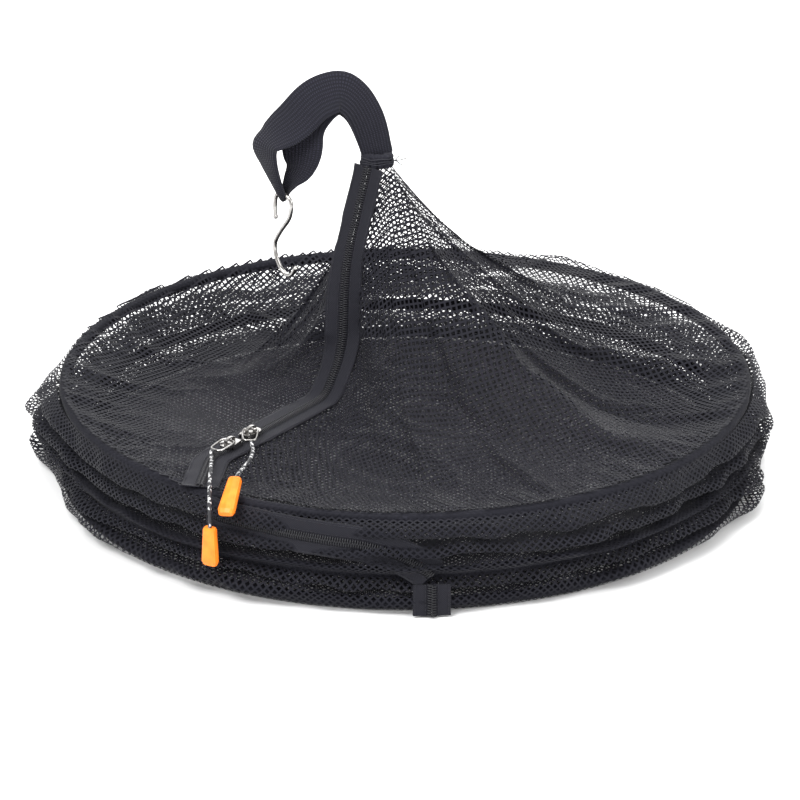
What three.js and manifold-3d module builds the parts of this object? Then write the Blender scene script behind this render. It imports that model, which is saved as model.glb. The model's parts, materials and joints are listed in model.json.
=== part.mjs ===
// A collapsible round net cage: three spring-wire hoops in fabric sleeves carry a base net, a tray
// net, two folding walls and a slack cone roof. One long zip runs from the apex down the roof and
// the walls, with two sliders. A webbing handle with an S-hook hangs the cage from its apex; lying
// down, the hoops stack flat on each other.
// Millimetres, +Z up, origin at the centre of the underside, -Y is the front. Azimuths are in
// degrees from the front towards +X.
import * as THREE from "three";
import { mergeVertices } from "three/addons/utils/BufferGeometryUtils.js";
import Module from "manifold-3d";

// --- Driving dimensions -----------------------------------------------------------------------
const SEGMENTS = 48; // sides of every round part, alike so that nested rings keep their gaps
const GAP = 0.3; // clearance between touching pieces
const HOOP = { radius: 197, wire: 1.25, sleeveIn: 2.6, sleeveOut: 3.4, slit: 0.45 };
const LEVEL = { base: 3.6, middle: 22, top: 55 }; // height of each hoop's wire
const NET = 0.9; // thickness of the net
const FERRULE = { inner: 1.55, outer: 2.1, length: 20, azimuth: 176.25 };
const APEX = { x: -15, y: -1, z: 188.5, radius: 6, crowding: 0.55 }; // where the roof's net is gathered
const RIM = { radius: 199, rise: 4.9 }; // where the roof leaves the top hoop's sleeve
const TAPE = { width: 10, thickness: 0.6, split: 0.5 };
const COIL = { width: 2.1, bottom: 1.1, height: 1.8 };
const COLLAR = { long: 9, short: 6, height: 5 };
const STRAP = { width: 25, thickness: 1.5 };
const HOOK = { wire: 1.25 };
const CORD = { radius: 1.1, sides: 8 };
const ZIP_AZIMUTH = -34.5;

const wasm = await Module();
wasm.setup();

// --- Materials --------------------------------------------------------------------------------
const material = (color, roughness, metalness = 0) =>
  new THREE.MeshStandardMaterial({ color, roughness, metalness });
const netMaterial = material(0x1d1d24, 0.8);
const tapeMaterial = material(0x232329, 0.85);
const coilMaterial = material(0x1a1a1e, 0.5);
const webbingMaterial = material(0x25252c, 0.9);
const wireMaterial = material(0x9a9a9e, 0.35, 1);
const steelMaterial = material(0xb9b4b0, 0.3, 1);
const cordMaterial = material(0x2c2c30, 0.85);
const gripMaterial = material(0xf58a1e, 0.45);

// --- Helpers ----------------------------------------------------------------------------------
const v = (x, y, z) => new THREE.Vector3(x, y, z);
const rad = THREE.MathUtils.degToRad;
const onCircle = (radius, azimuth, z) =>
  v(radius * Math.sin(rad(azimuth)), -radius * Math.cos(rad(azimuth)), z);

const cage = new THREE.Group();

function add(name, geometry, look) {
  const mesh = new THREE.Mesh(geometry, look);
  mesh.name = name;
  cage.add(mesh);
  return mesh;
}

function solid(geometry) {
  const bare = geometry.clone();
  for (const name of Object.keys(bare.attributes)) {
    if (name !== "position") bare.deleteAttribute(name);
  }
  const merged = mergeVertices(bare, 1e-4);
  const triVerts = new Uint32Array(merged.index.array);
  const vertProperties = merged.attributes.position.array;
  return new wasm.Manifold(new wasm.Mesh({ numProp: 3, vertProperties, triVerts }));
}

function geometryOf(manifold) {
  const mesh = manifold.getMesh();
  const geometry = new THREE.BufferGeometry();
  geometry.setAttribute("position", new THREE.BufferAttribute(mesh.vertProperties, 3));
  geometry.setIndex(new THREE.BufferAttribute(mesh.triVerts, 1));
  return geometry;
}

function join(...geometries) {
  return geometryOf(geometries.map(solid).reduce((all, next) => all.add(next)));
}

// A ring turned about +Z from a closed outline of [radius, height] pairs, listed anticlockwise.
function ring(outline) {
  const profile = [...outline, outline[0]].map(([radius, height]) => new THREE.Vector2(radius, height));
  return new THREE.LatheGeometry(profile, SEGMENTS).rotateX(Math.PI / 2);
}

// A disc turned about +Z, with both ends of its outline on the axis.
function disc(radius, bottom, top) {
  const profile = [[0, bottom], [radius, bottom], [radius, top], [0, top]];
  return new THREE.LatheGeometry(profile.map((p) => new THREE.Vector2(...p)), SEGMENTS).rotateX(Math.PI / 2);
}

// Points of an arc of a section circle, in radians from outwards.
function arc(centre, radius, from, to, steps) {
  return Array.from({ length: steps + 1 }, (_, i) => {
    const angle = from + ((to - from) * i) / steps;
    return [centre[0] + radius * Math.cos(angle), centre[1] + radius * Math.sin(angle)];
  });
}

// A closed solid through rows of points: each row is the same closed section. The ends are capped,
// or meet each other when it is closed. The faces are turned outwards whichever way the sections run.
function loft(rows, closed = false) {
  const across = rows[0].length;
  const count = rows.length;
  const position = rows.flat().flatMap((p) => [p.x, p.y, p.z]);
  const index = [];
  for (let i = 0; i < (closed ? count : count - 1); i++) {
    const row = i * across;
    const next = ((i + 1) % count) * across;
    for (let j = 0; j < across; j++) {
      const k = (j + 1) % across;
      index.push(row + j, row + k, next + j, row + k, next + k, next + j);
    }
  }
  const last = (count - 1) * across;
  for (let j = 0; j + 1 < across / 2 && !closed; j++) {
    const k = across - 1 - j;
    index.push(j, k, j + 1, j + 1, k, k - 1);
    index.push(last + j, last + j + 1, last + k, last + j + 1, last + k - 1, last + k);
  }
  const points = rows.flat();
  let volume = 0;
  for (let i = 0; i < index.length; i += 3) {
    volume += points[index[i]].dot(points[index[i + 1]].clone().cross(points[index[i + 2]]));
  }
  const geometry = new THREE.BufferGeometry();
  geometry.setAttribute("position", new THREE.Float32BufferAttribute(position, 3));
  geometry.setIndex(volume < 0 ? index.reverse() : index);
  return geometry;
}

// A flat band along stations of { point, side, normal }, from one height above the surface to another.
function band(stations, from, to, bottom, top) {
  return loft(
    stations.map(({ point, side, normal }) =>
      [[from, bottom], [from, top], [to, top], [to, bottom]].map(([across, up]) =>
        point.clone().addScaledVector(side, across).addScaledVector(normal, up),
      ),
    ),
  );
}

// A round bar along a smooth curve through points.
function bar(points, radius, sides, steps) {
  const section = new THREE.Shape().absarc(0, 0, radius, 0, 2 * Math.PI);
  const extrudePath = new THREE.CatmullRomCurve3(points, false, "centripetal");
  const settings = { curveSegments: sides, steps, bevelEnabled: false, extrudePath };
  return new THREE.ExtrudeGeometry(section, settings);
}

// Evenly spaced points of a line through corners, each corner rounded over the distance its fillet gives.
function roundedLine(corners, fillets, spacing) {
  const path = new THREE.CurvePath();
  let from = corners[0];
  for (const [i, fillet] of fillets.entries()) {
    const here = corners[i + 1];
    const back = corners[i].clone().sub(here).setLength(fillet).add(here);
    const ahead = corners[i + 2].clone().sub(here).setLength(fillet).add(here);
    path.add(new THREE.LineCurve3(from, back));
    path.add(new THREE.QuadraticBezierCurve3(back, here, ahead));
    from = ahead;
  }
  path.add(new THREE.LineCurve3(from, corners.at(-1)));
  return path.getSpacedPoints(Math.round(path.getLength() / spacing));
}

// --- Hoops: wire, crimped ferrule and fabric sleeve -------------------------------------------
function hoop(name, z) {
  const centre = [HOOP.radius, z];
  add(`${name}_hoop_wire`, ring(arc(centre, HOOP.wire, 0, 2 * Math.PI, 6).slice(0, 6)), wireMaterial);

  const outerEnd = Math.PI - HOOP.slit;
  const outer = arc(centre, HOOP.sleeveOut, -outerEnd, outerEnd, 7);
  const inner = arc(centre, HOOP.sleeveIn, outerEnd, -outerEnd, 6);
  add(`${name}_hoop_sleeve`, ring([...outer, ...inner]), tapeMaterial);

  const tube = new THREE.Shape().absarc(0, 0, FERRULE.outer, 0, 2 * Math.PI);
  tube.holes.push(new THREE.Path().absarc(0, 0, FERRULE.inner, 0, 2 * Math.PI, true));
  const settings = { depth: FERRULE.length, curveSegments: 6, bevelEnabled: false };
  const ferrule = new THREE.ExtrudeGeometry(tube, settings);
  ferrule.translate(0, 0, -FERRULE.length / 2).rotateY(Math.PI / 2);
  const flat = HOOP.radius * Math.cos(Math.PI / SEGMENTS); // the wire's straight facets lie this far out
  const mesh = add(`${name}_hoop_ferrule`, ferrule, steelMaterial);
  mesh.position.copy(onCircle(flat, FERRULE.azimuth, z));
  mesh.rotation.z = rad(FERRULE.azimuth);
}

// --- Flat nets --------------------------------------------------------------------------------
const TRAY_RADIUS = HOOP.radius - HOOP.sleeveOut - GAP;

function flatNets() {
  add("base_net", disc(TRAY_RADIUS, 0, NET), netMaterial);
  add("tray_net", disc(TRAY_RADIUS, LEVEL.middle - NET / 2, LEVEL.middle + NET / 2), netMaterial);
}

// --- Folded walls -----------------------------------------------------------------------------
const WALL_LINE = HOOP.radius + HOOP.sleeveOut + GAP + NET / 2; // the net just clear of a sleeve

// The folds of each wall as [how far it stands out of the wall line, height].
const LOWER_FOLDS = [[0, 0.6], [2.8, 6], [4.6, 12], [2.2, 18], [0, 21.5]];
const UPPER_FOLDS = [
  [0, 22.6], [2.8, 26], [4.2, 31], [2.8, 36], [-9, 38.6],
  [-9, 40.4], [2.2, 42.5], [3.6, 47], [1.6, 52], [0, 56],
];

function wall(folds) {
  const line = folds.map(([out, height]) => new THREE.Vector2(WALL_LINE + out, height));
  const offset = (way) =>
    line.map((point, i) => {
      const next = line[Math.min(i + 1, line.length - 1)];
      const tangent = next.clone().sub(line[Math.max(i - 1, 0)]).normalize();
      return [point.x + (tangent.y * way * NET) / 2, point.y - (tangent.x * way * NET) / 2];
    });
  return ring([...offset(1), ...offset(-1).reverse()]);
}

// --- The zip's routes -------------------------------------------------------------------------
// Roof: over the rim, along a straight stretch that the sliders run on, then up the cone.
const ROOF_ZIP_CORNERS = [
  v(-113.5, -165, 59.3), v(-108.5, -129, 60.2), v(-45.5, -45, 61.8),
  v(-36, -31, 84), v(-34.5, -20, 129.5), v(-21.6, -5.2, 183),
];
const ROOF_ZIP_FILLETS = [5, 9, 11, 20];
const [, zipStart, zipEnd] = ROOF_ZIP_CORNERS;

function stationsOf(points, sideOf) {
  return points.map((point, i) => {
    const ahead = points[Math.min(i + 1, points.length - 1)];
    const behind = points[Math.max(i - 1, 0)];
    const tangent = ahead.clone().sub(behind).normalize();
    const side = sideOf(tangent, point).normalize();
    return { point, side, normal: side.clone().cross(tangent).normalize() };
  });
}

const rightOf = (tangent) => v(tangent.y, -tangent.x, 0); // level, to the right of the way up the roof
const roofStations = stationsOf(roundedLine(ROOF_ZIP_CORNERS, ROOF_ZIP_FILLETS, 6), rightOf);

// Walls: points outside the folds as [azimuth, height], from the base hoop up. The upper stretch
// lies slantwise.
const ZIP_RADIUS = { lower: WALL_LINE + 6.2, upper: WALL_LINE + 5.6 };
const LOWER_ZIP = [[4, 0.8], [4, 19.5]];
const UPPER_ZIP = [
  [3.9, 25], [2.6, 29], [-1, 37], [-6, 42.5], [-12, 44.5], [-20, 45], [-28, 45], [-33, 46],
];
const outwards = (point) => v(point.x, point.y, 0).normalize();
const wallSide = (tangent, point) => tangent.clone().cross(outwards(point));

function wallPoints(route, radius, steps) {
  const points = route.map(([azimuth, z]) => onCircle(radius, azimuth, z));
  return new THREE.CatmullRomCurve3(points).getSpacedPoints(steps);
}

const lowerStations = stationsOf(wallPoints(LOWER_ZIP, ZIP_RADIUS.lower, 2), wallSide);
const upperStations = stationsOf(wallPoints(UPPER_ZIP, ZIP_RADIUS.upper, 22), wallSide);

function zip(name, stations) {
  const { width, thickness, split } = TAPE;
  const coilTop = COIL.bottom + COIL.height;
  add(`${name}_zip_tape_left`, band(stations, -split - width, -split, 0, thickness), tapeMaterial);
  add(`${name}_zip_tape_right`, band(stations, split, split + width, 0, thickness), tapeMaterial);
  const coil = (from, to) => band(stations, from, to, COIL.bottom, coilTop);
  add(`${name}_zip_coil_left`, coil(-split - COIL.width, -split), coilMaterial);
  add(`${name}_zip_coil_right`, coil(split, split + COIL.width), coilMaterial);
}

// --- Roof -------------------------------------------------------------------------------------
// Each row is an azimuth, and the point where the net breaks from its low brim into the steep cone:
// how far in from the rim, as a share of the way to the apex, and how high over the rim.
const ROOF_BREAKS = [
  [-34.5, 0.72, 2], [-62, 0.7, 0], [-95, 0.62, -4], [-120, 0.52, -14], [-145, 0.48, -16],
  [-166, 0.5, -4], [-190, 0.5, 22], [-210, 0.5, 48], [-240, 0.5, 46], [-270, 0.5, 18],
  [-290, 0.5, 14], [-311, 0.5, 36], [-335, 0.55, 12], [-352, 0.66, 20], [-375, 0.72, 6],
];
const BREAK_SOFTNESS = 9;
const ROOF_EDGE = TAPE.split + TAPE.width + 1.6; // the net stops here, beside the zip

function roofBreak(azimuth) {
  const first = ROOF_BREAKS[0];
  const turned = first[0] - THREE.MathUtils.euclideanModulo(first[0] - azimuth, 360);
  const rows = [...ROOF_BREAKS, [first[0] - 360, ...first.slice(1)]];
  const i = rows.findIndex((row, k) => k && row[0] <= turned + 1e-9);
  const [before, after] = [rows[i - 1], rows[i]];
  const t = THREE.MathUtils.smoothstep((before[0] - turned) / (before[0] - after[0]), 0, 1);
  return [1, 2].map((k) => THREE.MathUtils.lerp(before[k], after[k], t));
}

// A point of the roof's middle surface: share 0 is the rim and 1 the apex.
function roofPoint(azimuth, share) {
  const [breakShare, breakRise] = roofBreak(azimuth);
  const rise = APEX.z - LEVEL.top - RIM.rise;
  const brim = (breakRise * share) / breakShare;
  const cone = breakRise + ((rise - breakRise) * (share - breakShare)) / (1 - breakShare);
  const soft = Math.hypot(brim - cone, BREAK_SOFTNESS * share * (1 - share) * 4);
  const rim = onCircle(RIM.radius, azimuth, LEVEL.top + RIM.rise);
  const opposite = ZIP_AZIMUTH + 180; // the gathers crowd round the apex away from the zip
  const gathered = opposite + (azimuth - opposite) * APEX.crowding;
  const top = onCircle(APEX.radius, gathered, 0).add(v(APEX.x, APEX.y, 0));
  return v(
    THREE.MathUtils.lerp(rim.x, top.x, share),
    THREE.MathUtils.lerp(rim.y, top.y, share),
    rim.z + (brim + cone + soft) / 2,
  );
}

function roof() {
  const shares = [0, 0.06, 0.2, 0.34, 0.46, 0.56, 0.64, 0.71, 0.78, 0.85, 0.92, 1];
  const besideZip = (sign) =>
    shares.map((share) => {
      const { point, side } = roofStations[Math.round(share * (roofStations.length - 1))];
      return point.clone().addScaledVector(side, sign * ROOF_EDGE);
    });
  const azimuth = (i) => ZIP_AZIMUTH + 20 + (314 * i) / (SEGMENTS - 5);
  const azimuths = Array.from({ length: SEGMENTS - 4 }, (_, i) => azimuth(i));
  const lines = [
    besideZip(1),
    ...azimuths.map((a) => shares.map((share) => roofPoint(a, share))),
    besideZip(-1),
  ];
  const below = (line) => line.map((p) => p.clone().add(v(0, 0, -NET))).reverse();
  return loft(lines.map((line) => [...line, ...below(line)]));
}

// --- Sliders and pulls ------------------------------------------------------------------------
const SLIDER = { length: 13, width: 9, plate: 1.1, nose: 0.4, wall: 1 };
const SLIDER_AT = { lower: 17, upper: 36 }; // distance along the straight stretch

// The frame of a slider: +X to the right of the zip, +Y along it towards the apex, +Z off the tape.
function zipFrame(distance) {
  const along = zipEnd.clone().sub(zipStart).normalize();
  const side = rightOf(along).normalize();
  const matrix = new THREE.Matrix4().makeBasis(side, along, side.clone().cross(along));
  return matrix.setPosition(zipStart.clone().addScaledVector(along, distance));
}

function slider(name, distance, way) {
  const { length, width, plate, nose, wall: wallWidth } = SLIDER;
  const top = COIL.bottom + COIL.height + GAP;
  const half = width / 2;
  const plan = new THREE.Shape();
  plan.moveTo(-half * 0.72, -length / 2);
  plan.lineTo(half * 0.72, -length / 2);
  plan.lineTo(half, length * 0.1);
  plan.quadraticCurveTo(half, length / 2, 0, length / 2);
  plan.quadraticCurveTo(-half, length / 2, -half, length * 0.1);
  const slab = (bottom) => {
    const settings = { depth: plate, bevelEnabled: false, curveSegments: 4 };
    return new THREE.ExtrudeGeometry(plan, settings).translate(0, 0, bottom);
  };
  const box = (w, l, h, x, y, z) => new THREE.BoxGeometry(w, l, h).translate(x, y, z);
  const bottom = TAPE.thickness + GAP;
  const flangeAt = TAPE.split + COIL.width + GAP + wallWidth / 2;
  const flange = (sign) =>
    box(wallWidth, length * 0.62, top - bottom + 0.2, sign * flangeAt, -length * 0.19, (top + bottom) / 2 + 0.1);
  const crown = new THREE.Shape().moveTo(-4, 0).lineTo(-4, 2.4);
  crown.quadraticCurveTo(0, 4.4, 4, 2.4).lineTo(4, 0);
  crown.lineTo(2.9, 0).lineTo(2.9, 1.9);
  crown.quadraticCurveTo(0, 3.2, -2.9, 1.9).lineTo(-2.9, 0);
  const settings = { depth: 1.8, bevelEnabled: false, curveSegments: 5 };
  const arch = new THREE.ExtrudeGeometry(crown, settings);
  arch.rotateX(Math.PI / 2).rotateZ(Math.PI / 2).translate(-0.9, 0, top + plate - 0.1);
  const body = join(
    slab(top),
    slab(-GAP - plate),
    box(nose, 3.2, top + GAP + 0.4, 0, length / 2 - 2.6, (top - GAP) / 2),
    flange(1),
    flange(-1),
    arch,
  );
  if (way < 0) body.rotateZ(Math.PI);
  add(`${name}_slider_body`, body, steelMaterial).applyMatrix4(zipFrame(distance));
}

// A wire bail looped under the slider's crown, lying back from it at an angle to the zip, in
// degrees to the right.
const BAIL = { height: 5.6, length: 13, width: 8.4, wire: 0.65, drop: -0.1, turn: 35, steps: 24 };

function bail(name, distance, turn) {
  const half = BAIL.width / 2;
  const far = BAIL.length;
  const outline = [[0, 0], [half * 0.8, 0.4], [half, 4], [half * 0.8, far - 1], [0, far]];
  const mirrored = outline.slice(1, -1).reverse().map(([x, y]) => [-x, y]);
  const corners = [...outline, ...mirrored].map(([x, y]) => v(x, -y, 0));
  const path = new THREE.CatmullRomCurve3(corners, true, "centripetal");
  const points = path.getSpacedPoints(BAIL.steps).slice(0, BAIL.steps);
  const section = arc([0, 0], BAIL.wire, 0, 2 * Math.PI, 6).slice(0, 6);
  const rows = points.map((point, i) => {
    const next = points[(i + 1) % BAIL.steps];
    const tangent = next.clone().sub(points.at(i - 1)).normalize();
    const side = tangent.clone().cross(v(0, 0, 1));
    return section.map(([x, z]) => point.clone().addScaledVector(side, x).add(v(0, 0, z)));
  });
  const geometry = loft(rows, true);
  geometry.rotateX(-BAIL.drop).rotateZ(rad(turn)).translate(0, 0, BAIL.height);
  add(`${name}_pull_bail`, geometry, steelMaterial).applyMatrix4(zipFrame(distance));
}

// Pull cords, and the moulded grips on their ends: from the cord's end towards the grip's foot.
const PULLS = {
  lower: {
    cord: [
      v(-108.2, -129.6, 65), v(-107.8, -143, 64.6), v(-107.8, -166, 65.5), v(-107.6, -180, 65),
      v(-107.5, -188, 57), v(-107.5, -187.5, 45.6),
    ],
    grip: [v(-107.5, -187.2, 44.9), v(-107.5, -187.2, 22.5)],
  },
  upper: {
    cord: [
      v(-86.3, -116.9, 65), v(-85, -127, 65), v(-86.5, -142, 65.5), v(-90.5, -160, 67.5),
      v(-93, -172.2, 69),
    ],
    grip: [v(-93.4, -173.6, 68.4), v(-98.6, -192.6, 55.2)],
  },
};
const GRIP = { top: 3.8, foot: 5, thick: 2.6 };

function pull(name, { cord, grip }) {
  add(`${name}_pull_cord`, bar(cord, CORD.radius, CORD.sides / 2, 14), cordMaterial);
  const [top, foot] = grip;
  const down = foot.clone().sub(top);
  const side = v(0.86, -0.5, 0).projectOnPlane(down.clone().normalize()).normalize();
  const normal = side.clone().cross(down).normalize();
  const squared = (value) => Math.sign(value) * Math.abs(value) ** 0.6;
  const row = (share, half, thick) => {
    const centre = top.clone().addScaledVector(down, share);
    return Array.from({ length: 12 }, (_, i) => {
      const angle = (2 * Math.PI * i) / 12;
      const across = side.clone().multiplyScalar(half * squared(Math.cos(angle)));
      return centre.clone().add(across).addScaledVector(normal, thick * squared(Math.sin(angle)));
    });
  };
  const { top: narrow, foot: wide, thick } = GRIP;
  const rows = [
    row(0, narrow * 0.85, thick * 0.8),
    row(0.05, narrow, thick),
    row(0.9, wide, thick),
    row(1, wide * 0.82, thick * 0.75),
  ];
  add(`${name}_pull_grip`, loft(rows), gripMaterial);
}

// --- Apex, handle and hook --------------------------------------------------------------------
// The handle's loop from one sewn end to the other. Each row is the middle of the webbing, the way
// from its far to its near edge, and how much of its width is spread, where it is bunched up.
const HANDLE = [
  [-15.6, -0.6, 195.2, 1, 0.12, -0.1, 0.68], [-19.1, -0.8, 207.6, 0.97, 0.26, -0.04, 0.8],
  [-22.9, -1.2, 218.2, 0.9, 0.37, 0.24, 0.82], [-28.4, -1.8, 227, 0.59, 0.53, 0.61, 0.88],
  [-35.9, -2.6, 232.4, 0.24, 0.51, 0.82, 0.97], [-44.9, -3.6, 230.9, -0.12, 0.48, 0.87, 1],
  [-53, -5, 226.4, -0.54, 0.46, 0.7, 1], [-63.2, -7, 216.3, -0.84, 0.45, 0.29, 1],
  [-74.8, -9, 207.7, -0.85, 0.52, -0.06, 0.98], [-79.9, -10.6, 201.7, -0.6, 0.71, -0.36, 0.9],
  [-78, -12, 191.3, -0.43, 0.8, -0.41, 0.7], [-74.6, -13.6, 181, -0.62, 0.74, -0.25, 0.34],
  [-71.9, -13.8, 174.4, -0.7, 0.71, 0, 0.2], [-69.4, -11.5, 169.6, -0.7, 0.71, 0, 0.18],
  [-66.9, -9.2, 174.4, -0.7, 0.71, 0, 0.2], [-63.9, -8.6, 181, -0.75, 0.6, -0.2, 0.4],
  [-60, -8.6, 188.4, -0.89, 0.38, -0.25, 0.82], [-58.6, -7.6, 198.6, -0.94, 0.22, -0.25, 1],
  [-58.3, -5.4, 209.5, -0.96, 0.11, -0.25, 1], [-54, -2.2, 218.8, -0.73, 0.4, 0.55, 1],
  [-44.9, -0.6, 227.9, -0.14, 0.48, 0.87, 1], [-36.2, 0.4, 229.4, 0.24, 0.51, 0.82, 0.97],
  [-29, 1.2, 224.7, 0.59, 0.53, 0.61, 0.88], [-23.3, 1.8, 216.1, 0.9, 0.37, 0.23, 0.82],
  [-19.4, 2.3, 205.9, 0.97, 0.26, -0.04, 0.8], [-15.6, 2.6, 195.2, 1, 0.12, -0.1, 0.68],
];

function handle() {
  const points = HANDLE.map(([x, y, z]) => v(x, y, z));
  const widths = HANDLE.map(([, , , x, y, z, share]) => v(x, y, z).setLength(share));
  const middle = new THREE.CatmullRomCurve3(points, false, "centripetal");
  const across = new THREE.CatmullRomCurve3(widths);
  const corners = [[-1, -1], [-1, 1], [1, 1], [1, -1]];
  const steps = 80;
  const rows = Array.from({ length: steps + 1 }, (_, i) => {
    const t = i / steps;
    const side = across.getPoint(t).multiplyScalar(STRAP.width / 2);
    const normal = side.clone().cross(middle.getTangent(t)).setLength(STRAP.thickness / 2);
    const point = middle.getPoint(t);
    return corners.map(([s, n]) => point.clone().addScaledVector(side, s).addScaledVector(normal, n));
  });
  add("handle_strap", loft(rows), webbingMaterial);
}

function apexCollar() {
  const outline = new THREE.Shape().absellipse(0, 0, COLLAR.long, COLLAR.short, 0, 2 * Math.PI);
  const settings = { depth: COLLAR.height, curveSegments: 8, bevelEnabled: false };
  const collar = new THREE.ExtrudeGeometry(outline, settings);
  collar.translate(APEX.x - 1, APEX.y + 0.5, APEX.z + GAP);
  add("apex_collar", collar, webbingMaterial);
}

const HOOK_POINTS = [
  [-6.5, 0, -9], [-6.8, 0, -2], [-5.8, 0, 3.6], [-2.4, 0, 6.2], [2.4, 0, 6.2], [5.8, 0, 3.6],
  [6.4, 0, -1], [4.2, 0, -8], [-2.5, 0, -17], [-7, 0, -25], [-6.5, 0, -32.5], [-2.5, 0, -39.5],
  [2.5, 0, -42.5], [6.5, 0, -41], [9.5, 0, -36.5],
];
const HOOK_AT = v(-69.4, -11.5, 167.3);

function hook() {
  const wire = bar(HOOK_POINTS.map((p) => v(...p)), HOOK.wire, CORD.sides / 2, 44);
  const mesh = add("s_hook", wire, steelMaterial);
  mesh.rotation.z = rad(-45);
  mesh.position.copy(HOOK_AT);
}

// --- Assembly ---------------------------------------------------------------------------------
hoop("base", LEVEL.base);
hoop("middle", LEVEL.middle);
hoop("top", LEVEL.top);
flatNets();
add("lower_wall_net", wall(LOWER_FOLDS), netMaterial);
add("upper_wall_net", wall(UPPER_FOLDS), netMaterial);
add("roof_net", roof(), netMaterial);
zip("lower", lowerStations);
zip("upper", upperStations);
zip("roof", roofStations);
slider("lower", SLIDER_AT.lower, -1);
slider("upper", SLIDER_AT.upper, 1);
bail("lower", SLIDER_AT.lower, 0);
bail("upper", SLIDER_AT.upper, BAIL.turn);
pull("lower", PULLS.lower);
pull("upper", PULLS.upper);
apexCollar();
handle();
hook();

export default cage;
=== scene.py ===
import json
import math

import bpy
import numpy as np
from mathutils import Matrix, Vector


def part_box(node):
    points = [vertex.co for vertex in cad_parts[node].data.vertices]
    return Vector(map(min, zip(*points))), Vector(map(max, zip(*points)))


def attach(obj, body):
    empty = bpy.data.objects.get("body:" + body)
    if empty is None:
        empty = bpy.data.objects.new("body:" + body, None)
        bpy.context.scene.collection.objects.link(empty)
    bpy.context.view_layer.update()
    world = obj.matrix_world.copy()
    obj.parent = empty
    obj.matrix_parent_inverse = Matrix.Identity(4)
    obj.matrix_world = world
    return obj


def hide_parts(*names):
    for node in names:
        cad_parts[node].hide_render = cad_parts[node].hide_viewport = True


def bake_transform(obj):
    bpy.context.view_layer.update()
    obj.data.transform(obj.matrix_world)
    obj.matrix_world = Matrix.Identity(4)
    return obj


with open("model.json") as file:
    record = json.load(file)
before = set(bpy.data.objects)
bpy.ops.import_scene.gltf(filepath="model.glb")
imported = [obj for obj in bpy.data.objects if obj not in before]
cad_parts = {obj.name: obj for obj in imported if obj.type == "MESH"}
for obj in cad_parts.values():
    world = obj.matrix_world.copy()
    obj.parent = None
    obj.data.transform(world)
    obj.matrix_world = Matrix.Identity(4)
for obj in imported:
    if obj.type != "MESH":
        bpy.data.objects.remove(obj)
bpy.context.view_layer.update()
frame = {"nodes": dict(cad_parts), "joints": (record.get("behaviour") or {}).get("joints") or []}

MM = 0.001


# --- Helpers -------------------------------------------------------------------------------------
def span(node):
    lo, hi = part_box(node)
    return np.array(lo), np.array(hi)


def mesh_piece(name, points, faces, look, body=None, smooth=True, node=None):
    mesh = bpy.data.meshes.new(name)
    points = np.asarray(points, float)
    faces = np.asarray(faces)
    mesh.vertices.add(len(points))
    mesh.vertices.foreach_set("co", points.ravel())
    mesh.loops.add(faces.size)
    mesh.loops.foreach_set("vertex_index", faces.ravel().astype(np.int32))
    mesh.polygons.add(len(faces))
    mesh.polygons.foreach_set("loop_start", np.arange(0, faces.size, faces.shape[1], dtype=np.int32))
    mesh.update(calc_edges=True)
    mesh.validate()
    mesh.polygons.foreach_set("use_smooth", [smooth] * len(mesh.polygons))
    piece = bpy.data.objects.new(name, mesh)
    bpy.context.scene.collection.objects.link(piece)
    mesh.materials.append(look)
    finish_piece(piece, body, node)
    return piece


def finish_piece(piece, body, node):
    if body:
        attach(piece, body)
    if node:
        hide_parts(*([node] if isinstance(node, str) else node))


def grid_faces(rows, columns, wrap=False):
    """Quads between rows of points; the columns close on themselves with wrap."""
    i, j = np.meshgrid(np.arange(rows - 1), np.arange(columns if wrap else columns - 1), indexing="ij")
    a = i * columns + j
    b = i * columns + (j + 1) % columns
    return np.stack([a, b, b + columns, a + columns], -1).reshape(-1, 4)


def smooth_noise(count, size, seed, wrap=True):
    """Evenly spaced samples of a smooth random curve with about `count` bumps."""
    knots = np.random.default_rng(seed).uniform(-1, 1, count)
    t = np.linspace(0, count, size, endpoint=False)
    i = np.floor(t).astype(int)
    f = t - i
    f = f * f * (3 - 2 * f)
    return knots[i % count] * (1 - f) + knots[(i + 1) % count] * f


def frames_of(path, up):
    """Tangent, side and normal at each point of a path, with the side square to the given up vectors."""
    tangent = np.gradient(path, axis=0)
    tangent /= np.linalg.norm(tangent, axis=1, keepdims=True)
    side = np.cross(tangent, up)
    side /= np.linalg.norm(side, axis=1, keepdims=True)
    return tangent, side, np.cross(side, tangent)


def tube(path, radius, sides=8, closed=False):
    path = np.asarray(path, float)
    tangent = np.gradient(path, axis=0)
    if closed:
        tangent = np.roll(path, -1, 0) - np.roll(path, 1, 0)
    tangent /= np.linalg.norm(tangent, axis=1, keepdims=True)
    normal = np.zeros_like(path)
    start = np.cross(tangent[0], [0.3, 0.5, 0.8])
    normal[0] = start / np.linalg.norm(start)
    for i in range(1, len(path)):
        n = normal[i - 1] - tangent[i] * np.dot(normal[i - 1], tangent[i])
        normal[i] = n / np.linalg.norm(n)
    other = np.cross(tangent, normal)
    angle = np.linspace(0, 2 * np.pi, sides, endpoint=False)
    radius = np.broadcast_to(np.asarray(radius, float), (len(path),))
    ring = np.cos(angle)[None, :, None] * normal[:, None] + np.sin(angle)[None, :, None] * other[:, None]
    points = (path[:, None] + ring * radius[:, None, None]).reshape(-1, 3)
    faces = grid_faces(len(path), sides, wrap=True)
    if closed:
        last = (len(path) - 1) * sides
        j = np.arange(sides)
        k = (j + 1) % sides
        faces = np.vstack([faces, np.stack([last + j, last + k, k, j], -1)])
    return points, faces


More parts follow.
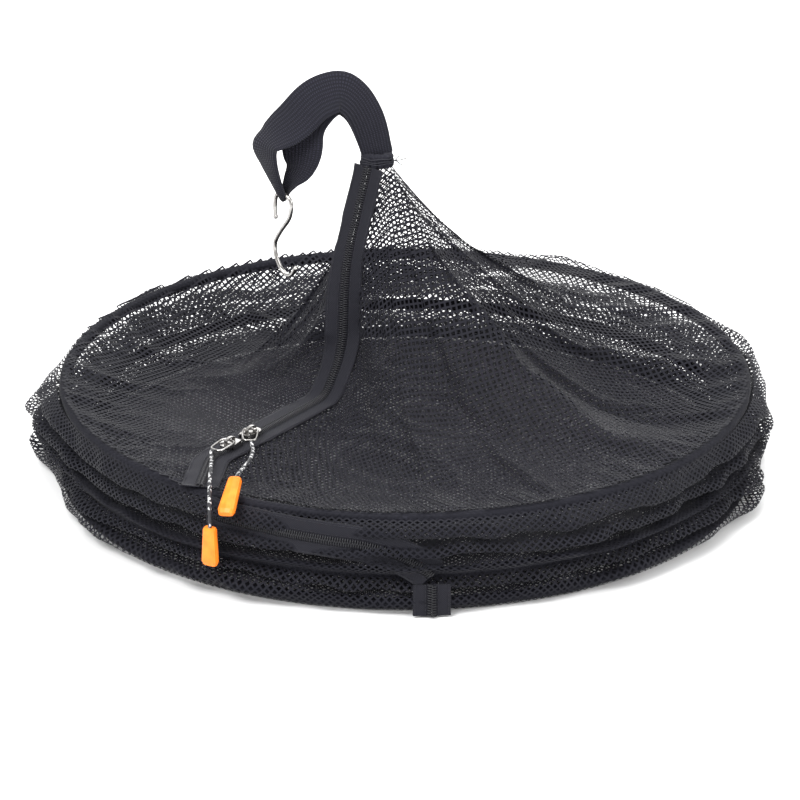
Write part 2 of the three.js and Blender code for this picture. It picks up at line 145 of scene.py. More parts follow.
def spline(points, count):
    """A smooth curve through points: Catmull-Rom, evenly spaced."""
    p = np.asarray(points, float)
    p = np.vstack([2 * p[0] - p[1], p, 2 * p[-1] - p[-2]])
    out = []
    for i in range(1, len(p) - 2):
        t = np.linspace(0, 1, 24, endpoint=False)[:, None]
        a, b, c, d = p[i - 1 : i + 3]
        out.append(0.5 * (2 * b + (c - a) * t + (2 * a - 5 * b + 4 * c - d) * t**2 + (3 * b - a - 3 * c + d) * t**3))
    line = np.vstack([*out, p[-2][None]])
    return resample(line, count)


def resample(line, count):
    length = np.concatenate([[0], np.cumsum(np.linalg.norm(np.diff(line, axis=0), axis=1))])
    at = np.linspace(0, length[-1], count)
    return np.stack([np.interp(at, length, line[:, k]) for k in range(line.shape[1])], -1)


def length_of(line):
    return float(np.linalg.norm(np.diff(np.asarray(line), axis=0), axis=1).sum())


# --- Materials -----------------------------------------------------------------------------------
def material(name, color, roughness, metallic=0.0, sheen=0.0, coat=0.0, specular=0.5):
    made = bpy.data.materials.new(name)
    made.use_nodes = True
    shader = made.node_tree.nodes["Principled BSDF"]
    shader.inputs["Base Color"].default_value = (*color, 1)
    shader.inputs["Roughness"].default_value = roughness
    shader.inputs["Metallic"].default_value = metallic
    shader.inputs["Sheen Weight"].default_value = sheen
    shader.inputs["Specular IOR Level"].default_value = specular
    shader.inputs["Coat Weight"].default_value = coat
    return made


def node(made, kind, **values):
    made_node = made.node_tree.nodes.new(kind)
    for key, value in values.items():
        if hasattr(made_node, key):
            setattr(made_node, key, value)
        else:
            made_node.inputs[key.replace("_", " ")].default_value = value
    return made_node


def link(made, out, into):
    made.node_tree.links.new(out, into)


def vary(made, color_a, color_b, scale, detail=3.0, bump=0.0, bump_scale=None, rough=None):
    """Mottled colour from noise over the object's own coordinates, with an optional fine bump."""
    shader = made.node_tree.nodes["Principled BSDF"]
    coords = node(made, "ShaderNodeTexCoord")
    noise = node(made, "ShaderNodeTexNoise", Scale=scale, Detail=detail)
    link(made, coords.outputs["Object"], noise.inputs["Vector"])
    ramp = node(made, "ShaderNodeValToRGB")
    ramp.color_ramp.elements[0].position = 0.35
    ramp.color_ramp.elements[1].position = 0.65
    ramp.color_ramp.elements[0].color = (*color_a, 1)
    ramp.color_ramp.elements[1].color = (*color_b, 1)
    link(made, noise.outputs["Fac"], ramp.inputs["Fac"])
    link(made, ramp.outputs["Color"], shader.inputs["Base Color"])
    if bump:
        fine = node(made, "ShaderNodeTexNoise", Scale=bump_scale or scale * 6, Detail=4.0)
        link(made, coords.outputs["Object"], fine.inputs["Vector"])
        relief = node(made, "ShaderNodeBump", Strength=bump, Distance=0.0003)
        link(made, fine.outputs["Fac"], relief.inputs["Height"])
        link(made, relief.outputs["Normal"], shader.inputs["Normal"])
    return made


def woven(made, across, along, strength, distance=0.0002, slant=0.0):
    """A weave's relief from the piece's own map: x is metres across the band and y metres along it. Its colour
    follows the relief: painted shade darkens the gaps and painted highlight lightens the raised threads.
    """
    shader = made.node_tree.nodes["Principled BSDF"]
    coords = node(made, "ShaderNodeUVMap")
    coords.uv_map = "Cloth"
    turned = node(made, "ShaderNodeMapping")
    turned.inputs["Rotation"].default_value = (0, 0, slant)
    link(made, coords.outputs["UV"], turned.inputs["Vector"])
    heights = []
    for direction, pitch in (("X", across), ("Y", along)):
        wave = node(made, "ShaderNodeTexWave", Scale=0.314 / pitch, Distortion=0.6, Detail=1.0)
        wave.bands_direction = direction
        link(made, turned.outputs["Vector"], wave.inputs["Vector"])
        heights.append(wave.outputs["Fac"])
    both = node(made, "ShaderNodeMath", operation="MULTIPLY")
    link(made, heights[0], both.inputs[0])
    link(made, heights[1], both.inputs[1])
    relief = node(made, "ShaderNodeBump", Strength=strength, Distance=distance)
    link(made, both.outputs[0], relief.inputs["Height"])
    link(made, relief.outputs["Normal"], shader.inputs["Normal"])
    base = shader.inputs["Base Color"].default_value[:3]
    # Painted shade and highlight from the weave's height: the low gaps are painted darker (0.45 of the base colour)
    # and the raised threads lighter (1.5 of it).
    weave_shade_and_highlight = node(made, "ShaderNodeMix", data_type="RGBA")
    weave_shade_and_highlight.inputs[6].default_value = (*[c * 0.45 for c in base], 1)
    weave_shade_and_highlight.inputs[7].default_value = (*[c * 1.5 for c in base], 1)
    link(made, both.outputs[0], weave_shade_and_highlight.inputs[0])
    link(made, weave_shade_and_highlight.outputs[2], shader.inputs["Base Color"])
    return made


NET = material("Net", (0.0075, 0.0075, 0.0115), 0.7, sheen=0.03, specular=0.12)
TRAY = material("TrayNet", (0.006, 0.006, 0.009), 0.75, sheen=0.03, specular=0.1)
TAPE = woven(
    material("Tape", (0.013, 0.013, 0.019), 0.75, sheen=0.05, specular=0.15), 0.0009, 0.0009, 0.5, slant=0.785
)
WEBBING = woven(
    material("Webbing", (0.013, 0.013, 0.021), 0.8, sheen=0.06, specular=0.15), 0.0022, 0.0011, 0.9, 0.0005
)
COIL = material("Coil", (0.012, 0.012, 0.015), 0.38, specular=0.35)
THREAD = material("Thread", (0.02, 0.02, 0.026), 0.7, specular=0.25)
BINDING = vary(
    material("Binding", (0.012, 0.012, 0.017), 0.8, sheen=0.05, specular=0.1),
    (0.008, 0.008, 0.012), (0.02, 0.02, 0.027), 700, bump=0.4,
)
WIRE = vary(material("SpringWire", (0.4, 0.4, 0.42), 0.35, 1.0), (0.3, 0.3, 0.32), (0.5, 0.5, 0.52), 300)
STEEL = vary(
    material("Nickel", (0.32, 0.31, 0.3), 0.2, 1.0),
    (0.22, 0.21, 0.2), (0.42, 0.41, 0.4), 220, bump=0.06, bump_scale=900,
)
GRIP = vary(
    material("Grip", (0.9, 0.2, 0.01), 0.42, specular=0.35),
    (0.84, 0.17, 0.007), (0.95, 0.235, 0.015), 180, bump=0.05, bump_scale=2500,
)


def flecked(made):
    """Pale flecks spiralling round a dark cord."""
    shader = made.node_tree.nodes["Principled BSDF"]
    coords = node(made, "ShaderNodeUVMap")
    coords.uv_map = "Cloth"
    turned = node(made, "ShaderNodeMapping")
    turned.inputs["Rotation"].default_value = (0, 0, 0.6)
    link(made, coords.outputs["UV"], turned.inputs["Vector"])
    checks = node(made, "ShaderNodeTexVoronoi", Scale=760.0)
    link(made, turned.outputs["Vector"], checks.inputs["Vector"])
    ramp = node(made, "ShaderNodeValToRGB")
    ramp.color_ramp.interpolation = "CONSTANT"
    ramp.color_ramp.elements[0].color = (0.015, 0.015, 0.018, 1)
    ramp.color_ramp.elements[1].position = 0.68
    ramp.color_ramp.elements[1].color = (0.5, 0.5, 0.5, 1)
    link(made, checks.outputs["Color"], ramp.inputs["Fac"])
    link(made, ramp.outputs["Color"], shader.inputs["Base Color"])
    relief = node(made, "ShaderNodeBump", Strength=0.5, Distance=0.0003)
    link(made, checks.outputs["Distance"], relief.inputs["Height"])
    link(made, relief.outputs["Normal"], shader.inputs["Normal"])
    return made


CORD = flecked(material("PullCord", (0.03, 0.03, 0.035), 0.7))


def cloth_map(piece, across, along):
    """Writes the piece's map in metres from one pair of values per point."""
    layer = piece.data.uv_layers.new(name="Cloth")
    index = np.zeros(len(piece.data.loops), np.int32)
    piece.data.loops.foreach_get("vertex_index", index)
    layer.data.foreach_set("uv", np.stack([np.ravel(across)[index], np.ravel(along)[index]], -1).ravel())


# --- The zip's line: as in the CAD source, but on up to the collar --------------------------------------------------------
CORNERS = np.array([
    [-113.5, -165, 59.3], [-108.5, -129, 60.2], [-45.5, -45, 61.8],
    [-36, -31, 84], [-34.5, -20, 129.5], [-20.6, -4.4, 187.4],
]) * MM
FILLETS = np.array([5, 9, 11, 20]) * MM


def rounded_line(corners, fillets, count):
    out = [corners[0]]
    for i, fillet in enumerate(fillets):
        here = corners[i + 1]
        back = here + (corners[i] - here) / np.linalg.norm(corners[i] - here) * fillet
        ahead = here + (corners[i + 2] - here) / np.linalg.norm(corners[i + 2] - here) * fillet
        for t in np.linspace(0, 1, 9):
            out.append(back * (1 - t) ** 2 + here * 2 * t * (1 - t) + ahead * t * t)
    out.append(corners[-1])
    return resample(np.array(out), count)


def on_circle(radius, azimuth, z):
    a = np.radians(azimuth)
    return np.stack(np.broadcast_arrays(radius * np.sin(a), -radius * np.cos(a), z), -1)


ROOF_LINE = rounded_line(CORNERS, FILLETS, 181)
flat = np.diff(ROOF_LINE, axis=0, append=ROOF_LINE[-1:] * 2 - ROOF_LINE[-2:-1])
ROOF_SIDE = np.stack([flat[:, 1], -flat[:, 0], 0 * flat[:, 0]], -1)
ROOF_SIDE /= np.linalg.norm(ROOF_SIDE, axis=1, keepdims=True)


# --- Net ------------------------------------------------------------------------------------------
PITCH = 3.05 * MM
STRAND = 1.08 * MM


def sample(grid, u, v):
    """Points of a surface given as a grid of points, at fractions u down its rows and v along its columns."""
    rows, columns = grid.shape[:2]
    x = np.clip(u, 0, 1) * (rows - 1)
    y = np.clip(v, 0, 1) * (columns - 1)
    i = np.minimum(x.astype(int), rows - 2)
    j = np.minimum(y.astype(int), columns - 2)
    f = (x - i)[:, None]
    g = (y - j)[:, None]
    near = grid[i, j] * (1 - g) + grid[i, j + 1] * g
    far = grid[i + 1, j] * (1 - g) + grid[i + 1, j + 1] * g
    return near * (1 - f) + far * f


def lattice(lo, hi, inside, pitch=PITCH, strand=STRAND):
    """A flat diamond net over a rectangle, kept where inside() holds: its points and quads."""
    e1 = np.array([1, 1]) / math.sqrt(2)
    e2 = np.array([-1, 1]) / math.sqrt(2)
    reach = int(max(abs(hi - lo).max(), 1e-6) * 1.5 / pitch) + 2
    i, j = np.meshgrid(np.arange(-reach, reach + 1), np.arange(-reach, reach + 1), indexing="ij")
    centre = (lo + hi) / 2
    at = centre + (i[..., None] * e1 + j[..., None] * e2) * pitch
    kept = np.all((at >= lo) & (at <= hi), -1) & inside(at[..., 0], at[..., 1])
    number = np.full(kept.shape, -1)
    number[kept] = np.arange(kept.sum())
    corners = np.array([[-1, -1], [1, -1], [1, 1], [-1, 1]]) * strand / 2
    points = at[kept][:, None] + corners[:, :1] * e1 + corners[:, 1:] * e2
    base = number[kept][:, None] * 4 + np.arange(4)
    faces = [base]
    for here, there, a, b in (
        (number[:-1], number[1:], (1, 2), (0, 3)),
        (number[:, :-1], number[:, 1:], (2, 3), (1, 0)),
    ):
        both = (here >= 0) & (there >= 0)
        h = here[both][:, None] * 4
        t = there[both][:, None] * 4
        faces.append(np.hstack([h + a[0], t + b[0], t + b[1], h + a[1]]))
    return points.reshape(-1, 2), np.vstack(faces)


# --- Roof -----------------------------------------------------------------------------------------
RIM_Z = 59.7 * MM
APEX_LO, APEX_HI = span("apex_collar")
APEX = np.array([-0.015, -0.001, APEX_LO[2] + 0.0005])
# Azimuth, then two points of the net's line up from the rim: share of the way in, height in mm.
ROOF = np.array([
    [-14.5, 0.30, 59, 0.72, 66], [8, 0.30, 62, 0.70, 88], [25, 0.30, 57, 0.60, 77], [49, 0.25, 74, 0.50, 101],
    [70, 0.30, 50, 0.50, 72], [90, 0.30, 56, 0.50, 80], [120, 0.30, 82, 0.50, 108], [150, 0.30, 86, 0.50, 112],
    [170, 0.30, 62, 0.50, 82], [194, 0.30, 50, 0.50, 55], [215, 0.30, 45, 0.48, 42], [240, 0.30, 49, 0.52, 44],
    [265, 0.35, 57, 0.62, 55], [285, 0.35, 58.5, 0.68, 58], [305.5, 0.35, 59, 0.70, 61],
])
ROOF_ROWS = 361
ROOF_STEPS = 97


def radial_line(azimuth):
    s1, z1, s2, z2 = (np.interp(azimuth, ROOF[:, 0], ROOF[:, k]) for k in range(1, 5))
    share = np.linspace(0, 1, 161)
    z = np.interp(share, [0, s1, s2, 1], [RIM_Z / MM, z1, z2, APEX[2] / MM]) * MM
    padded = np.pad(z, 9, "reflect", reflect_type="odd")
    z = np.convolve(padded, np.hanning(19) / np.hanning(19).sum(), "valid")
    rim = on_circle(199 * MM, azimuth, 0)
    crowd = 145.5 + (azimuth - 145.5) * 0.55
    top = on_circle(6 * MM, crowd, 0) + [APEX[0], APEX[1], 0]
    line = rim * (1 - share[:, None]) + top * share[:, None]
    line[:, 2] = z
    return resample(line, ROOF_STEPS)


def roof_grid():
    edge = 8.6 * MM
    right = resample(ROOF_LINE + ROOF_SIDE * edge - [0, 0, 0.0006], ROOF_STEPS)
    left = resample(ROOF_LINE - ROOF_SIDE * edge - [0, 0, 0.0006], ROOF_STEPS)
    rows = []
    for u in np.linspace(-34.5, 325.5, ROOF_ROWS):
        if u < -14.5:
            f = (u + 34.5) / 20
            rows.append(right * (1 - f) + radial_line(-14.5) * f)
        elif u > 305.5:
            f = (325.5 - u) / 20
            rows.append(left * (1 - f) + radial_line(305.5) * f)
        else:
            rows.append(radial_line(u))
    return np.array(rows)


def draped(grid, pinned, frames, slack, name, mass=0.1, bending=0.02):
    """The grid after it has hung under its own weight with the pinned points held still."""
    rows, columns = grid.shape[:2]
    mesh = bpy.data.meshes.new(name)
    mesh.from_pydata([tuple(p) for p in grid.reshape(-1, 3)], [], [tuple(f) for f in grid_faces(rows, columns)])
    cloth = bpy.data.objects.new(name, mesh)
    bpy.context.scene.collection.objects.link(cloth)
    group = cloth.vertex_groups.new(name="Pinned")
    group.add([int(k) for k in np.flatnonzero(pinned.ravel())], 1.0, "REPLACE")
    modifier = cloth.modifiers.new("Cloth", "CLOTH")
    settings = modifier.settings
    settings.quality = 6
    settings.mass = mass
    settings.tension_stiffness = settings.compression_stiffness = 12
    settings.shear_stiffness = 4
    settings.bending_stiffness = bending
    settings.tension_damping = settings.compression_damping = 10
    settings.air_damping = 4
    settings.vertex_group_mass = "Pinned"
    settings.shrink_min = -slack
    settings.shrink_max = -slack
    modifier.collision_settings.use_collision = False
    scene = bpy.context.scene
    scene.frame_start, scene.frame_end = 1, frames
    modifier.point_cache.frame_end = frames
    for frame_number in range(1, frames + 1):
        scene.frame_set(frame_number)
    done = cloth.evaluated_get(bpy.context.evaluated_depsgraph_get())
    out = np.zeros(rows * columns * 3)
    done.data.vertices.foreach_get("co", out)
    bpy.data.objects.remove(cloth)
    bpy.data.meshes.remove(mesh)
    scene.frame_set(1)
    return out.reshape(rows, columns, 3)


def thinned(grid, rows, columns):
    u, v = np.meshgrid(np.linspace(0, 1, rows), np.linspace(0, 1, columns), indexing="ij")
    return sample(grid, u.ravel(), v.ravel()).reshape(rows, columns, 3)


def roof():
    grid = thinned(roof_grid(), 141, 41)
    pinned = np.zeros(grid.shape[:2], bool)
    pinned[:, 0] = pinned[:, -1] = pinned[0] = pinned[-1] = True
    grid = draped(grid, pinned, 18, 0.03, "RoofDrape")
    slant = 0.236
    turn = 1.245 / slant

    def inside(x, y):
        radius = np.hypot(x, y)
        angle = np.mod(np.arctan2(y, x), 2 * np.pi)
        return (radius < slant) & (radius > 0.010) & (angle < turn)

    flat_points, faces = lattice(np.array([-slant, -slant]), np.array([slant, slant]), inside)
    radius = np.hypot(flat_points[:, 0], flat_points[:, 1])
    angle = np.mod(np.arctan2(flat_points[:, 1], flat_points[:, 0]), 2 * np.pi)
    points = sample(grid, angle / turn, 1 - (radius - 0.006) / (slant - 0.006))
    piece = mesh_piece("Roof", points, faces, NET, node="roof_net")
    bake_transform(piece)
    return grid


# --- Walls and trays -------------------------------------------------------------------------------
# Folds of the walls, as radius and height in mm, from the lower hoop to the upper one.
LOWER_FOLDS = [
    (200.5, 1), (205.5, 5), (207.5, 9), (204, 12), (184, 12.8),
    (184, 14), (204, 14.8), (206, 18.5), (201.5, 22.5),
]
UPPER_FOLDS = [
    (201.5, 23), (206, 26), (206.5, 29), (184, 30.8), (184, 32), (205, 33.5), (206.5, 37), (203, 40),
    (182, 41), (182, 42.4), (204, 44), (206.5, 49), (201.3, 56),
]
AROUND = 721


def bump(azimuth, centre, width):
    off = np.abs((azimuth - centre + 180) % 360 - 180) / width
    return np.where(off < 1, np.cos(off * np.pi / 2) ** 2, 0)


def crumpled(seed, share):
    """Loose cloth's small dents over a ring: one column for each share of the way up."""
    rows = np.array([smooth_noise(84, AROUND - 1, seed + k) for k in range(9)])
    rows = np.concatenate([rows, rows[:, :1]], 1)
    at = np.clip(share, 0, 1) * 8
    low = np.minimum(at.astype(int), 7)
    part = at - low
    part = part * part * (3 - 2 * part)
    return (rows[low] * (1 - part)[:, None] + rows[low + 1] * part[:, None]).T


def wall_grid(folds, seed, bulges):
    azimuth = np.linspace(0, 360, AROUND)
    line = spline(folds, 109)
    out = line[:, 0] - 201
    height = line[:, 1]
    low, high = height.min(), height.max()
    middle = np.clip(np.minimum(height - low, high - height) / 5, 0, 1)
    grid = np.zeros((AROUND, len(line), 3))
    waves = [smooth_noise(n, AROUND - 1, seed + n) for n in (9, 23, 47, 95)]
    waves = [np.append(w, w[0]) for w in waves]
    depth = 1 + 0.35 * waves[0] + 0.2 * waves[1]
    push = 2.0 * waves[1] + 1.3 * waves[2] + 0.5 * waves[3]
    lift = 2.4 * waves[0] + 1.9 * waves[1] + 0.9 * waves[2]
    share = np.concatenate([[0], np.cumsum(np.linalg.norm(np.diff(line, axis=0), axis=1))])
    share /= share[-1]
    for centre, width, far, at in bulges:
        shape = bump(azimuth, centre, width)[:, None] * np.exp(-(((height - at) / 9) ** 2))[None] * far
        grid[..., 0] += shape * (out > -6)
    radius = 201 + np.where(out > 0, out * depth[:, None], out * (0.75 + 0.25 * depth[:, None]))
    radius = radius + grid[..., 0] + (push[:, None] + 2.2 * crumpled(seed + 200, share)) * middle
    z = np.clip(height + (lift[:, None] + 1.7 * crumpled(seed + 300, share)) * middle, low, high)
    level = on_circle(1, azimuth[:, None], 0) * np.stack([radius, radius, 0 * radius], -1)
    return level * MM + np.stack([0 * z, 0 * z, z], -1) * MM


def wall(name, grid, node_name):
    tall = length_of(grid[0])
    around = 2 * np.pi * 0.203
    count = round(around / (PITCH * math.sqrt(2)))
    around = count * PITCH * math.sqrt(2)
    flat_points, faces = lattice(np.array([0, 0]), np.array([around, tall]), lambda x, y: x > -1)
    points = sample(grid, flat_points[:, 0] / around, flat_points[:, 1] / tall)
    piece = mesh_piece(name, points, faces, NET, node=node_name)
    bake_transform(piece)


def tray(name, node_name, body, sag):
    lo, hi = span(node_name)
    radius = (hi[0] - lo[0]) / 2 + 0.001
    flat_points, faces = lattice(
        np.array([-radius, -radius]), np.array([radius, radius]), lambda x, y: np.hypot(x, y) < radius
    )
    x, y = flat_points.T
    share = np.hypot(x, y) / radius
    ripple = np.sin(x * 41 + 1.3 * np.sin(y * 23)) * np.sin(y * 37 + x * 11) * 0.5 + 0.5
    z = (lo[2] + hi[2]) / 2 - sag * (1 - share**2) * ripple
    piece = mesh_piece(name, np.stack([x, y, z], -1), faces, TRAY, body=body, node=node_name)


def sleeve(body, thick, seed):
    """The band of net and binding sewn round a hoop's wire: a lumpy dark tube with a net over it."""
    node_name = f"{body}_hoop_sleeve"
    lo, hi = span(node_name)
    z = (lo[2] + hi[2]) / 2
    azimuth = np.linspace(0, 360, 480, endpoint=False)
    lumps = smooth_noise(60, 480, seed) * 0.25 + smooth_noise(140, 480, seed + 1) * 0.15
    path = on_circle(197 * MM, azimuth, z)
    points, faces = tube(path, (thick - 0.35 + lumps) * MM, 12, closed=True)
    mesh_piece(f"{body.title()}Binding", points, faces, BINDING, body=body, node=node_name)
    turn = np.linspace(0, 2 * np.pi, 25)
    grid = on_circle(1, np.linspace(0, 360, 481)[:, None], 0) * 0.197
    ring = (thick + np.append(lumps, lumps[0]))[:, None] * MM
    out = on_circle(1, np.linspace(0, 360, 481)[:, None], 0)
    grid = grid + out * (ring * np.cos(turn))[..., None]
    grid[..., 2] = z + ring * np.sin(turn)
    tall = 2 * np.pi * thick * MM
    around = 2 * np.pi * 0.2
    corners = np.array([0, 0]), np.array([around, tall])
    flat_points, faces = lattice(*corners, lambda x, y: x > -1, pitch=2.6 * MM, strand=1.0 * MM)
    points = sample(grid, flat_points[:, 0] / around, flat_points[:, 1] / tall)
    mesh_piece(f"{body.title()}SleeveNet", points, faces, NET, body=body)


# --- Zip -------------------------------------------------------------------------------------------
WALL_LINE = (197 + 3.4 + 0.3 + 0.45) * MM
LOWER_ZIP = [(4, 0.8), (4, 19.5)]
UPPER_ZIP = [(3.9, 25), (2.6, 29), (-1, 37), (-6, 42.5), (-12, 44.5), (-20, 45), (-28, 45), (-33, 46)]


def wall_line(route, radius, count):
    """A zip's line outside the folds; past the front left it tucks in under the top hoop's roll of net."""
    tuck = [5.5 * MM * np.clip((-14 - azimuth) / 12, 0, 1) for azimuth, _ in route]
    return spline([on_circle(radius - t, azimuth, z * MM) for t, (azimuth, z) in zip(tuck, route)], count)


def band(path, side, normal, start, end, bottom, top, waver=0.0, seed=0):
    """A flat strip of cloth beside a path, with its thickness, and the map for its weave."""
    across = np.linspace(start, end, 7)
    ripple = smooth_noise(max(len(path) // 5, 3), len(path), seed) * waver
    edge = np.abs(np.linspace(0, 1, 7)) ** 2
    if abs(start) > abs(end):
        edge = edge[::-1]
    layers = []
    for level in (top, bottom):
        lift = level + ripple[:, None] * edge
        layers.append(path[:, None] + side[:, None] * across[None, :, None] + normal[:, None] * lift[..., None])
    section = np.concatenate([layers[0], layers[1][:, ::-1]], 1)
    rows, columns = section.shape[:2]
    faces = grid_faces(rows, columns, wrap=True)
    half = columns // 2
    caps = []
    for first in (0, (rows - 1) * columns):
        for k in range(half - 1):
            caps.append([first + k, first + k + 1, first + columns - 2 - k, first + columns - 1 - k])
    along = np.concatenate([[0], np.cumsum(np.linalg.norm(np.diff(path, axis=0), axis=1))])
    spread = np.broadcast_to(np.concatenate([across, across[::-1]]), (rows, columns))
    maps = spread, np.broadcast_to(along[:, None], (rows, columns))
    return section.reshape(-1, 3), np.vstack([faces, caps]), maps


def along(path, count, *values):
    """Evenly spaced points of a path, with the values that go with each point."""
    at = np.concatenate([[0], np.cumsum(np.linalg.norm(np.diff(path, axis=0), axis=1))])
    to = np.linspace(0, at[-1], count)
    both = np.hstack([path, *values])
    return np.stack([np.interp(to, at, column) for column in both.T], -1)


def teeth(path, side, normal, way, height):
    """One half of a coil: loops across the zip's centre, each bent over like a staple."""
    pitch = 1.35 * MM
    count = int(length_of(path) / pitch)
    at = along(path, count * 2, side, normal)[(0 if way > 0 else 1) :: 2]
    points, faces = [], []
    profile = np.array([[-0.35, 0.2], [0.1, 1.0], [1.1, 1.25], [2.1, 0.7], [2.4, -0.2]]) * MM
    for row in at:
        centre, s, n = row[:3], row[3:6], row[6:]
        loop = centre + s * way * profile[:, :1] + n * (height + profile[:, 1:])
        p, f = tube(loop, 0.36 * MM, 5)
        faces.append(f + sum(len(q) for q in points))
        points.append(p)
    return np.vstack(points), np.vstack(faces)


def zip_run(prefix, path, side, normal, place, seed):
    title = prefix.title()
    for name, way in (("left", -1), ("right", 1)):
        edges = way * 0.3 * MM, way * 10.5 * MM
        points, faces, maps = band(path, side, normal, *edges, 0.0, 0.6 * MM, 0.5 * MM, seed + way)
        piece, stands_for = f"{title}Tape{name.title()}", f"{prefix}_zip_tape_{name}"
        tape = mesh_piece(piece, points, faces, TAPE, node=stands_for)
        cloth_map(tape, *maps)
        place(tape)
        points, faces = teeth(path, side, normal, way, 0.9 * MM)
        piece, stands_for = f"{title}Coil{name.title()}", f"{prefix}_zip_coil_{name}"
        coil = mesh_piece(piece, points, faces, COIL, node=stands_for)
        place(coil)
        for k, offset in enumerate((3.4, 9.3)):
            seam = path + side * way * offset * MM + normal * 0.62 * MM
            points, faces = stitches(seam, normal, 2.4 * MM, 0.17 * MM)
            thread = mesh_piece(f"{title}Seam{name.title()}{k}", points, faces, THREAD)
            place(thread)


def stitches(path, normal, pitch, radius):
    count = max(int(length_of(path) / pitch), 2)
    at = along(path, count * 4, normal)
    points, faces, total = [], [], 0
    for k in range(0, count * 4 - 3, 4):
        a = at[k : k + 4]
        arch = a[:, :3] + a[:, 3:] * (np.array([[-0.2], [1], [1], [-0.2]]) * radius)
        p, f = tube(arch, radius, 5)
        points.append(p)
        faces.append(f + total)
        total += len(p)
    return np.vstack(points), np.vstack(faces)


def zips():
    tangent, side, normal = frames_of(ROOF_LINE, np.array([0, 0, 1.0]))
    side = ROOF_SIDE
    normal = np.cross(side, tangent)
    normal /= np.linalg.norm(normal, axis=1, keepdims=True)
    zip_run("roof", ROOF_LINE, side, normal, lambda p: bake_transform(p), 11)
    low = wall_line(LOWER_ZIP, WALL_LINE + 6.2 * MM, 24)
    high = wall_line(UPPER_ZIP, WALL_LINE + 5.6 * MM, 140)
    runs = (("lower", low, "base", "middle", (3, 20)), ("upper", high, "middle", "top", (25, 53)))
    for prefix, path, lower, upper, z in runs:
        out = path * [1, 1, 0]
        out /= np.linalg.norm(out, axis=1, keepdims=True)
        tangent, side, normal = frames_of(path, out)
        zip_run(prefix, path, side, normal, lambda p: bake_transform(p), 21)


# --- Sliders and pulls -------------------------------------------------------------------------------
def joint(name):
    return next(j for j in frame["joints"] if j["name"] == name)


def hardware():
    for name in ("lower", "upper"):
        body = frame["nodes"][f"{name}_slider_body"]
        body.data.materials.clear()
        body.data.materials.append(STEEL)
        bevel = body.modifiers.new("Edge", "BEVEL")
        bevel.width = 0.25 * MM
        bevel.segments = 2
        bevel.limit_method = "ANGLE"
        swing = joint(f"{name}_pull_swing")
        pivot = np.array(swing["pos_m"])
        axis = np.array(swing["axis"])
        axis /= np.linalg.norm(axis)
        lo, hi = span(f"{name}_pull_bail")
        back = np.cross(np.array([0, 0, 1.0]), axis)
        if np.dot(back, (lo + hi) / 2 - pivot) < 0:
            back = -back
        drop = np.array([0, 0, -0.1])
        half, long = 4.2 * MM, 13 * MM
        outline = [(0, 0), (0.8 * half, 0.4 * MM), (half, 4 * MM), (0.8 * half, long - MM), (0, long)]
        outline += [(-x, y) for x, y in outline[-2:0:-1]]
        ring = spline([pivot + axis * x + (back + drop) * y for x, y in [*outline, outline[0]]], 61)[:-1]
        points, faces = tube(ring, 0.65 * MM, 10, closed=True)
        piece, stands_for = f"{name.title()}Bail", f"{name}_pull_bail"
        mesh_piece(piece, points, faces, STEEL, body=f"{name}_pull", node=stands_for)


CORDS = {
    "lower": [
        (-107.3, -127.4, 64.6), (-108.2, -129.6, 65), (-107.8, -143, 64.6), (-107.8, -166, 65.5),
        (-107.6, -180, 65), (-107.5, -188, 57), (-107.5, -187.5, 45.0),
    ],
    "upper": [
        (-86.6, -115.4, 65), (-86.3, -116.9, 65), (-85, -127, 65), (-86.5, -142, 65.5), (-90.5, -160, 67.5),
        (-93.2, -172.9, 68.7),
    ],
}


def pulls():
    for name, route in CORDS.items():
        path = spline(np.array(route) * MM, 90)
        points, faces = tube(path, 1.05 * MM, 12)
        length = length_of(path)
        cord = mesh_piece(
            f"{name.title()}Cord", points, faces, CORD,
            body=f"{name}_pull", node=f"{name}_pull_cord",
        )
        angle = np.tile(np.linspace(0, 2 * np.pi * 1.05 * MM, 12, endpoint=False), 90)
        cloth_map(cord, angle, np.repeat(np.linspace(0, length, 90), 12))
        grip = frame["nodes"][f"{name}_pull_grip"]
        grip.data.materials.clear()
        grip.data.materials.append(GRIP)
        bevel = grip.modifiers.new("Edge", "BEVEL")
        bevel.width = 0.5 * MM
        bevel.segments = 3
        bevel.limit_method = "ANGLE"


